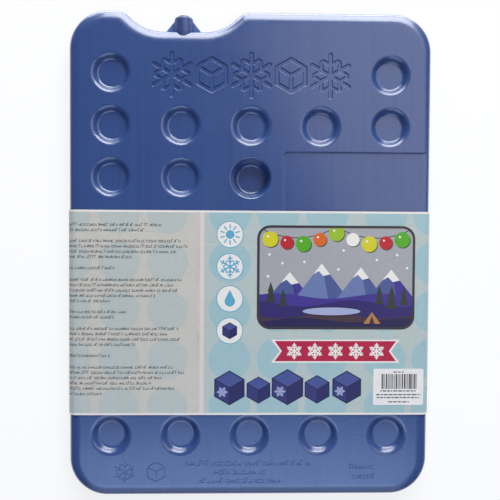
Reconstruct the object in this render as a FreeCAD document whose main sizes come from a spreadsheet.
"""Reusable ice pack: a flat blow-moulded pack with a dimpled front, lying on its back in a paper sleeve.

X runs across the pack, Y up its length to the filler neck, and Z out of its front. All sizes are in mm.
The origin is under the middle of the pack, on the surface that the sleeve's back rests on.
"""
import FreeCAD, Part
import os
import re
import Sketcher

# Driving sizes, each of them set on its own
SIZES = {
    # The pack's outline, thickness and rounding
    "pack_width": 248.0,
    "pack_height": 333.0,
    "pack_thickness": 15.0,
    "corner_radius": 26.0,
    "edge_radius": 5.25,
    # The back's bevel as a share of the front's radius, large enough to stay inside the sleeve's fold
    "back_bevel_share": 0.74,
    # The notch in the top edge that keeps the filler neck inside the outline, its middle from the left side
    "notch_inset": 77.4,
    "notch_floor_width": 52.0,
    "notch_depth": 13.7,
    "notch_flank_angle": 41.5,
    "notch_shoulder_radius": 11.0,
    "notch_root_radius": 31.0,
    # The filler neck, its two fins and its plug
    "neck_base_radius": 6.5,
    "neck_end_radius": 5.7,
    "neck_height": 10.2,
    "neck_bevel": 1.2,
    "neck_root": 6.0,
    "fin_reach": 5.5,
    "fin_height": 8.6,
    "fin_thickness": 1.6,
    "bore_radius": 3.0,
    "bore_depth": 7.5,
    "plug_clearance": 0.1,
    "plug_flange_radius": 4.2,
    "plug_flange_thickness": 1.0,
    "plug_bevel": 0.5,
    "plug_length": 6.5,
    # The grid of round dimples, with the outer centres' distance from the sides and the ends
    "columns": 5,
    "dimple_rows": 8,
    "side_margin": 28.8,
    "end_margin": 42.6,
    "dimple_rim_radius": 12.8,
    "dimple_floor_radius": 9.1,
    "dimple_depth": 3.5,
    # The two deep dimples that are welded to shallow ones on the back
    "deep_rim_radius": 13.6,
    "deep_floor_radius": 10.4,
    "deep_depth": 10.6,
    "deep_row_step": 3,
    "back_rim_radius": 12.4,
    "back_floor_radius": 10.9,
    "back_depth": 2.4,
    # The flat recess for writing on, open to the right-hand side
    "recess_left": 23.0,
    "recess_depth": 1.0,
    "recess_bevel": 0.8,
    "recess_corner_radius": 2.5,
    # The printed paper sleeve, its glued lap and its price sticker
    "sleeve_clearance": 0.3,
    "sleeve_thickness": 0.35,
    "sleeve_height": 140.5,
    "sleeve_top": 30.8,
    "lap_width": 15.0,
    "lap_thickness": 0.2,
    "sticker_width": 35.0,
    "sticker_height": 25.0,
    "sticker_thickness": 0.12,
    "sticker_corner_radius": 1.2,
    "sticker_inset": 5.6,
    "sticker_rise": 19.1,
    # How far a cutting profile runs past the surface that it cuts
    "overcut": 1.0,
}

# Sizes that follow from the driving ones
COLUMN_PITCH = "(pack_width - 2 * side_margin) / (columns - 1)"
ROW_PITCH = "(pack_height - 2 * end_margin) / (dimple_rows - 1)"
NOTCH_MIDDLE = "notch_inset - pack_width / 2"


def fill_sheet(doc):
    """Writes each driving size into the spreadsheet under its name."""
    sheet = doc.addObject("Spreadsheet::Sheet", "sizes")
    for row, (name, value) in enumerate(SIZES.items(), start=1):
        sheet.set(f"A{row}", name)
        sheet.set(f"B{row}", str(value))
        sheet.setAlias(f"B{row}", name)
    doc.recompute()
    return sheet


def size(text):
    """The expression for a size worked out from the sheet's names, written as plain arithmetic."""
    return re.sub(r"[a-z_]+", lambda word: "sizes." + word[0] if word[0] in SIZES else word[0], text)


def bind(thing, **formulas):
    """Ties properties of a feature to the sheet; two underscores in a name stand for a dot."""
    for name, text in formulas.items():
        thing.setExpression(name.replace("__", "."), size(text))


def origin_feature(body, role):
    """The plane or axis of the body's own origin that has the role, such as XY_Plane."""
    return next(item for item in body.Origin.OriginFeatures if item.Role == role)


def new_body(doc, name, **place):
    """A body whose label names its file, placed by the sheet."""
    body = doc.addObject("PartDesign::Body", name)
    body.Label = name
    bind(body, **{f"Placement__Base__{axis}": text for axis, text in place.items()})
    return body


def draw(body, name, plane, *loops, **offset):
    """A sketch of closed straight-sided loops, with every corner placed from the sheet."""
    sketch = body.newObject("Sketcher::SketchObject", name)
    sketch.AttachmentSupport = [(origin_feature(body, plane), "")]
    sketch.MapMode = "FlatFace"
    bind(sketch, **{f"AttachmentOffset__Base__{axis}": text for axis, text in offset.items()})
    for corners in loops:
        draw_loop(sketch, corners)
    return sketch


def draw_loop(sketch, corners):
    """Adds one loop to a sketch; each corner is a pair of formulas, across and up."""
    first = len(sketch.Geometry)
    places = [[value_of(sketch, text) for text in corner] for corner in corners]
    for number, place in enumerate(places):
        following = places[(number + 1) % len(places)]
        sketch.addGeometry(Part.LineSegment(FreeCAD.Vector(*place, 0), FreeCAD.Vector(*following, 0)), False)
    for number, corner in enumerate(corners):
        line = first + number
        following = first + (number + 1) % len(corners)
        sketch.addConstraint(Sketcher.Constraint("Coincident", line, 2, following, 1))
        for kind, axis, text, value in zip(("DistanceX", "DistanceY"), (-2, -1), corner, places[number]):
            hold_corner(sketch, line, kind, axis, text, value)


def hold_corner(sketch, line, kind, axis, text, value):
    """Holds the start of a line on an axis, or at its distance from it."""
    if text == "0":
        sketch.addConstraint(Sketcher.Constraint("PointOnObject", line, 1, axis))
        return
    number = sketch.addConstraint(Sketcher.Constraint(kind, -1, 1, line, 1, value))
    sketch.setExpression(f"Constraints[{number}]", size(text))


def value_of(thing, text):
    """The number that a formula gives now, without its unit."""
    value = thing.evalExpression(size(text))
    return float(getattr(value, "Value", value))


def pad(body, sketch, name, length, symmetric=False):
    """A straight extrusion of a sketch."""
    feature = body.newObject("PartDesign::Pad", name)
    feature.Profile = sketch
    feature.SideType = "Symmetric" if symmetric else "One side"
    bind(feature, Length=length)
    return settle(body, feature)


def turn(body, sketch, name, cut=False):
    """A full turn of a sketch about its own upright axis, added or cut away."""
    feature = body.newObject("PartDesign::Groove" if cut else "PartDesign::Revolution", name)
    feature.Profile = sketch
    feature.ReferenceAxis = (sketch, ["V_Axis"])
    feature.Angle = 360
    return settle_cut(body, feature) if cut else settle(body, feature)


def dress_edges(body, kind, name, chosen):
    """A fillet or chamfer, its size not yet set, on each edge of the present shape that the test picks."""
    base = body.Tip
    edges = [f"Edge{number}" for number, edge in enumerate(base.Shape.Edges, start=1) if chosen(edge)]
    if not edges:
        raise RuntimeError(f"{name} finds no edge")
    feature = body.newObject(kind, name)
    feature.Base = (base, edges)
    return feature


def round_edges(body, name, radius, chosen):
    """Rounds each edge of the body's present shape that the test picks out."""
    feature = dress_edges(body, "PartDesign::Fillet", name, chosen)
    bind(feature, Radius=radius)
    return settle(body, feature)


def bevel_edges(body, name, width, chosen):
    """Cuts an even bevel along each edge of the body's present shape that the test picks out."""
    feature = dress_edges(body, "PartDesign::Chamfer", name, chosen)
    bind(feature, Size=width)
    return settle(body, feature)


def settle(body, feature):
    """Makes a new feature the body's tip and works it out."""
    body.Tip = feature
    body.Document.recompute()
    return feature


def settle_cut(body, feature):
    """Works out a new feature that has to take material away, and stops the script if it doesn't."""
    settle(body, feature)
    if feature.Shape.Volume >= feature.BaseFeature.Shape.Volume:
        raise RuntimeError(f"{feature.Name} cuts nothing")
    return feature


def repeat(body, feature, name, across, spacing, down="1", drop=ROW_PITCH):
    """Copies of a feature on a grid, to the right along X and down along Y."""
    pattern = body.newObject("PartDesign::LinearPattern", name)
    pattern.Originals = [feature]
    pattern.Direction = (origin_feature(body, "X_Axis"), [""])
    pattern.Mode = "Spacing"
    pattern.Direction2 = (origin_feature(body, "Y_Axis"), [""])
    pattern.Mode2 = "Spacing"
    pattern.Spacings2 = [-1.0]
    pattern.Reversed2 = True
    bind(pattern, Occurrences=across, Offset=spacing, Occurrences2=down, Offset2=drop)
    return settle_cut(body, pattern)


def is_upright(edge):
    """True for a straight edge along Z."""
    return isinstance(edge.Curve, Part.Line) and abs(edge.Curve.Direction.z) > 0.999


def lies_level(edge, level):
    """True for an edge whose whole length is at this height."""
    box = edge.BoundBox
    return abs(box.ZMin - level) < 0.01 and abs(box.ZMax - level) < 0.01


def outline_corners():
    """The pack's outline with sharp corners: a rectangle with a sloping-sided notch in its top edge."""
    side = "pack_width / 2"
    end = "pack_height / 2"
    floor = f"{end} - notch_depth"
    half_floor = "notch_floor_width / 2"
    half_mouth = f"{half_floor} + notch_depth / tan(notch_flank_angle)"
    return [
        (f"- {side}", f"- {end}"),
        (side, f"- {end}"),
        (side, end),
        (f"{NOTCH_MIDDLE} + {half_mouth}", end),
        (f"{NOTCH_MIDDLE} + {half_floor}", floor),
        (f"{NOTCH_MIDDLE} - {half_floor}", floor),
        (f"{NOTCH_MIDDLE} - ({half_mouth})", end),
        (f"- {side}", end),
    ]


def add_blank(body):
    """The plain pack: its outline, its rounded corners and its softly rounded front and back edges."""
    outline = draw(body, "outline", "XY_Plane", outline_corners())
    pad(body, outline, "blank", "pack_thickness")
    side = SIZES["pack_width"] / 2
    end = SIZES["pack_height"] / 2

    def at_corner(edge):
        return is_upright(edge) and abs(abs(edge.BoundBox.XMin) - side) < 0.01

    def at_shoulder(edge):
        return is_upright(edge) and abs(edge.BoundBox.YMin - end) < 0.01

    def at_root(edge):
        return is_upright(edge) and abs(edge.BoundBox.YMin - end + SIZES["notch_depth"]) < 0.01

    round_edges(body, "corner_rounds", "corner_radius", at_corner)
    round_edges(body, "shoulder_rounds", "notch_shoulder_radius", at_shoulder)
    round_edges(body, "root_rounds", "notch_root_radius", at_root)

    def on_front(edge):
        return lies_level(edge, SIZES["pack_thickness"])

    def on_back(edge):
        return lies_level(edge, 0.0)

    round_edges(body, "front_round", "edge_radius", on_front)
    bevel_edges(body, "back_bevel", "edge_radius * back_bevel_share", on_back)


def add_neck(body):
    """The filler neck on the notch's floor: a tapered round stub with a blind bore, between two fins."""
    middle = {"x": NOTCH_MIDDLE, "y": "pack_height / 2 - notch_depth", "z": "pack_thickness / 2"}
    stub = draw(body, "neck_profile", "XY_Plane", [
        ("0", "- neck_root"),
        ("neck_base_radius", "- neck_root"),
        ("neck_base_radius", "0"),
        ("neck_end_radius", "neck_height"),
        ("0", "neck_height"),
    ], **middle)
    turn(body, stub, "neck")
    end = SIZES["pack_height"] / 2 - SIZES["notch_depth"] + SIZES["neck_height"]

    def at_end(edge):
        box = edge.BoundBox
        return abs(box.YMin - end) < 0.01 and abs(box.YMax - end) < 0.01

    bevel_edges(body, "neck_end_bevel", "neck_bevel", at_end)
    fins = draw(body, "fin_profile", "XY_Plane", [
        ("- neck_base_radius - fin_reach", "- edge_radius"),
        ("neck_base_radius + fin_reach", "- edge_radius"),
        ("neck_base_radius + fin_reach", "0"),
        ("neck_end_radius - neck_bevel", "fin_height"),
        ("- neck_end_radius + neck_bevel", "fin_height"),
        ("- neck_base_radius - fin_reach", "0"),
    ], **middle)
    pad(body, fins, "fins", "fin_thickness", symmetric=True)
    bore = draw(body, "bore_profile", "XY_Plane", [
        ("0", "neck_height - bore_depth"),
        ("bore_radius", "neck_height - bore_depth"),
        ("bore_radius", "neck_height + overcut"),
        ("0", "neck_height + overcut"),
    ], **middle)
    turn(body, bore, "filler_bore", cut=True)


def dimple_profile(kind):
    """Half the section of a round dimple in the front, with its sloping wall run on past the face."""
    bottom = f"pack_thickness - {kind}_depth"
    slope = f"({kind}_rim_radius - {kind}_floor_radius) / {kind}_depth"
    mouth = f"{kind}_rim_radius + overcut * {slope}"
    top = "pack_thickness + overcut"
    return [("0", bottom), (f"{kind}_floor_radius", bottom), (mouth, top), ("0", top)]


def cut_dimple(body, name, profile, column, row):
    """One round dimple, cut at a column and row of the grid that are counted from the top left."""
    across = f"({column} - (columns + 1) / 2) * {COLUMN_PITCH}"
    down = f"({row} - (dimple_rows + 1) / 2) * {ROW_PITCH}"
    sketch = draw(body, name + "_profile", "XZ_Plane", profile, x=across, z=down)
    return turn(body, sketch, name, cut=True)


def add_recess(body):
    """The flat recess for writing on, between the third column and the right-hand side."""
    top = f"(dimple_rows / 2 - 2) * {ROW_PITCH}"
    bottom = f"(1 - dimple_rows / 2) * {ROW_PITCH}"
    open_side = "pack_width / 2 + recess_depth * 2"
    sketch = draw(body, "recess_outline", "XY_Plane", [
        ("recess_left", bottom),
        (open_side, bottom),
        (open_side, top),
        ("recess_left", top),
    ], z="pack_thickness")
    recess = body.newObject("PartDesign::Pocket", "recess")
    recess.Profile = sketch
    bind(recess, Length="recess_depth")
    settle_cut(body, recess)
    left = SIZES["recess_left"]

    def at_recess_corner(edge):
        return is_upright(edge) and abs(edge.BoundBox.XMin - left) < 0.01

    round_edges(body, "recess_corners", "recess_corner_radius", at_recess_corner)
    half_length = SIZES["pack_height"] / 2
    flat_end = SIZES["pack_width"] / 2 - SIZES["edge_radius"]

    def on_recess_brink(edge):
        box = edge.BoundBox
        inside = box.XMin > left - 0.01 and box.XMax < flat_end + 0.01
        along = max(abs(box.YMin), abs(box.YMax)) < half_length - 0.01
        return lies_level(edge, SIZES["pack_thickness"]) and inside and along

    bevel_edges(body, "recess_brink", "recess_bevel", on_recess_brink)


def add_dimples(body):
    """The dimples: whole rows second and last, two in the first row, and a block left of the recess."""
    shallow = dimple_profile("dimple")
    seed = cut_dimple(body, "first_row_dimple", shallow, 1, 1)
    repeat(body, seed, "first_row", "2", "pack_width - 2 * side_margin")
    seed = cut_dimple(body, "whole_row_dimple", shallow, 1, 2)
    repeat(body, seed, "whole_rows", "columns", COLUMN_PITCH, "2", f"(dimple_rows - 2) * {ROW_PITCH}")
    seed = cut_dimple(body, "block_dimple", shallow, 1, 3)
    repeat(body, seed, "block", "(columns + 1) / 2", COLUMN_PITCH, "dimple_rows - 3")


def add_deep_dimples(body):
    """Two deep dimples on the middle column, each meeting a shallow one in the back."""
    middle = "(columns + 1) / 2"
    deep = dimple_profile("deep")
    seed = cut_dimple(body, "deep_dimple", deep, middle, 3)
    repeat(body, seed, "deep_dimples", "1", COLUMN_PITCH, "2", f"deep_row_step * {ROW_PITCH}")
    mouth = "back_rim_radius + overcut * (back_rim_radius - back_floor_radius) / back_depth"
    back = [("0", "- overcut"), (mouth, "- overcut"), ("back_floor_radius", "back_depth"), ("0", "back_depth")]
    seed = cut_dimple(body, "back_dimple", back, middle, 3)
    repeat(body, seed, "back_dimples", "1", COLUMN_PITCH, "2", f"deep_row_step * {ROW_PITCH}")


def make_pack_body(doc):
    """The sealed pack, as one solid with its filling."""
    body = new_body(doc, "pack_body", z="sleeve_clearance + sleeve_thickness")
    add_blank(body)
    add_neck(body)
    add_recess(body)
    add_dimples(body)
    add_deep_dimples(body)
    return body


def make_filler_plug(doc):
    """The stopper welded into the neck: a shank in the bore under a domed flange on the neck's end."""
    end = "pack_height / 2 - notch_depth + neck_height"
    height = "sleeve_clearance + sleeve_thickness + pack_thickness / 2"
    body = new_body(doc, "filler_plug", x=NOTCH_MIDDLE, y=end, z=height)
    shank = "bore_radius - plug_clearance"
    profile = draw(body, "plug_profile", "XY_Plane", [
        ("0", "- plug_length"),
        (shank, "- plug_length"),
        (shank, "0"),
        ("plug_flange_radius", "0"),
        ("plug_flange_radius", "plug_flange_thickness"),
        ("0", "plug_flange_thickness"),
    ])
    turn(body, profile, "plug")

    def on_flange(edge):
        return abs(edge.BoundBox.YMin - SIZES["plug_flange_thickness"]) < 0.01 and edge.isClosed()

    bevel_edges(body, "flange_bevel", "plug_bevel", on_flange)
    return body


def band_corners(gap):
    """The sharp-cornered section of a band round the pack, this far outside it, from the resting face up."""
    side = f"pack_width / 2 + {gap}"
    foot = f"sleeve_clearance + sleeve_thickness - ({gap})"
    top = f"sleeve_clearance + sleeve_thickness + pack_thickness + {gap}"
    return [(f"- ({side})", foot), (side, foot), (side, top), (f"- ({side})", top)]


def make_label_sleeve(doc):
    """The paper band round the pack's middle, closed by a glued lap inside its back."""
    middle = "sleeve_top - sleeve_height / 2"
    body = new_body(doc, "label_sleeve", y=middle)
    inner = band_corners("sleeve_clearance")
    outer = band_corners("sleeve_clearance + sleeve_thickness")
    section = draw(body, "band_section", "XZ_Plane", outer, inner)
    pad(body, section, "band", "sleeve_height", symmetric=True)
    inner_side = SIZES["pack_width"] / 2 + SIZES["sleeve_clearance"]

    def along_sleeve(edge):
        return isinstance(edge.Curve, Part.Line) and abs(edge.Curve.Direction.y) > 0.999

    def on_inner_fold(edge):
        return along_sleeve(edge) and abs(abs(edge.BoundBox.XMin) - inner_side) < 0.01

    def on_outer_fold(edge):
        outer_side = inner_side + SIZES["sleeve_thickness"]
        return along_sleeve(edge) and abs(abs(edge.BoundBox.XMin) - outer_side) < 0.01

    round_edges(body, "inner_folds", "edge_radius + sleeve_clearance", on_inner_fold)
    round_edges(body, "outer_folds", "edge_radius + sleeve_clearance + sleeve_thickness", on_outer_fold)
    lap = draw(body, "lap_section", "XZ_Plane", [
        ("- lap_width / 2", "sleeve_thickness / 2"),
        ("lap_width / 2", "sleeve_thickness / 2"),
        ("lap_width / 2", "sleeve_thickness + lap_thickness"),
        ("- lap_width / 2", "sleeve_thickness + lap_thickness"),
    ])
    pad(body, lap, "glued_lap", "sleeve_height", symmetric=True)
    return body


def make_price_sticker(doc):
    """The small round-cornered sticker on the sleeve's front."""
    face = "2 * (sleeve_clearance + sleeve_thickness) + pack_thickness"
    right = "pack_width / 2 - sticker_inset"
    middle = "sleeve_top - sleeve_height + sticker_rise"
    body = new_body(doc, "price_sticker", x=right, y=middle, z=face)
    outline = draw(body, "sticker_outline", "XY_Plane", [
        ("- sticker_width", "- sticker_height / 2"),
        ("0", "- sticker_height / 2"),
        ("0", "sticker_height / 2"),
        ("- sticker_width", "sticker_height / 2"),
    ])
    pad(body, outline, "sticker", "sticker_thickness")
    round_edges(body, "sticker_corners", "sticker_corner_radius", is_upright)
    return body


def check(doc, bodies):
    """Stops the script if a feature failed or a piece isn't one valid solid."""
    for item in doc.Objects:
        if "Invalid" in item.State or "Error" in item.State:
            raise RuntimeError(f"{item.Name} failed: {item.State}")
    for body in bodies:
        if body.Shape.isNull() or not body.Shape.isValid() or len(body.Shape.Solids) != 1:
            raise RuntimeError(f"{body.Label} isn't one valid solid")


def main():
    """Builds every piece and writes each to its own file."""
    os.makedirs("parts", exist_ok=True)
    doc = FreeCAD.newDocument("ice_pack")
    fill_sheet(doc)
    bodies = [make_pack_body(doc), make_filler_plug(doc), make_label_sleeve(doc), make_price_sticker(doc)]
    doc.recompute()
    check(doc, bodies)
    for body in bodies:
        body.Shape.exportStep(f"parts/{body.Label}.step")
        box = body.Shape.BoundBox
        litres = body.Shape.Volume / 1e6
        print(f"{body.Label}: {box.XLength:.2f} x {box.YLength:.2f} x {box.ZLength:.2f} mm, {litres:.4f} l")


main()
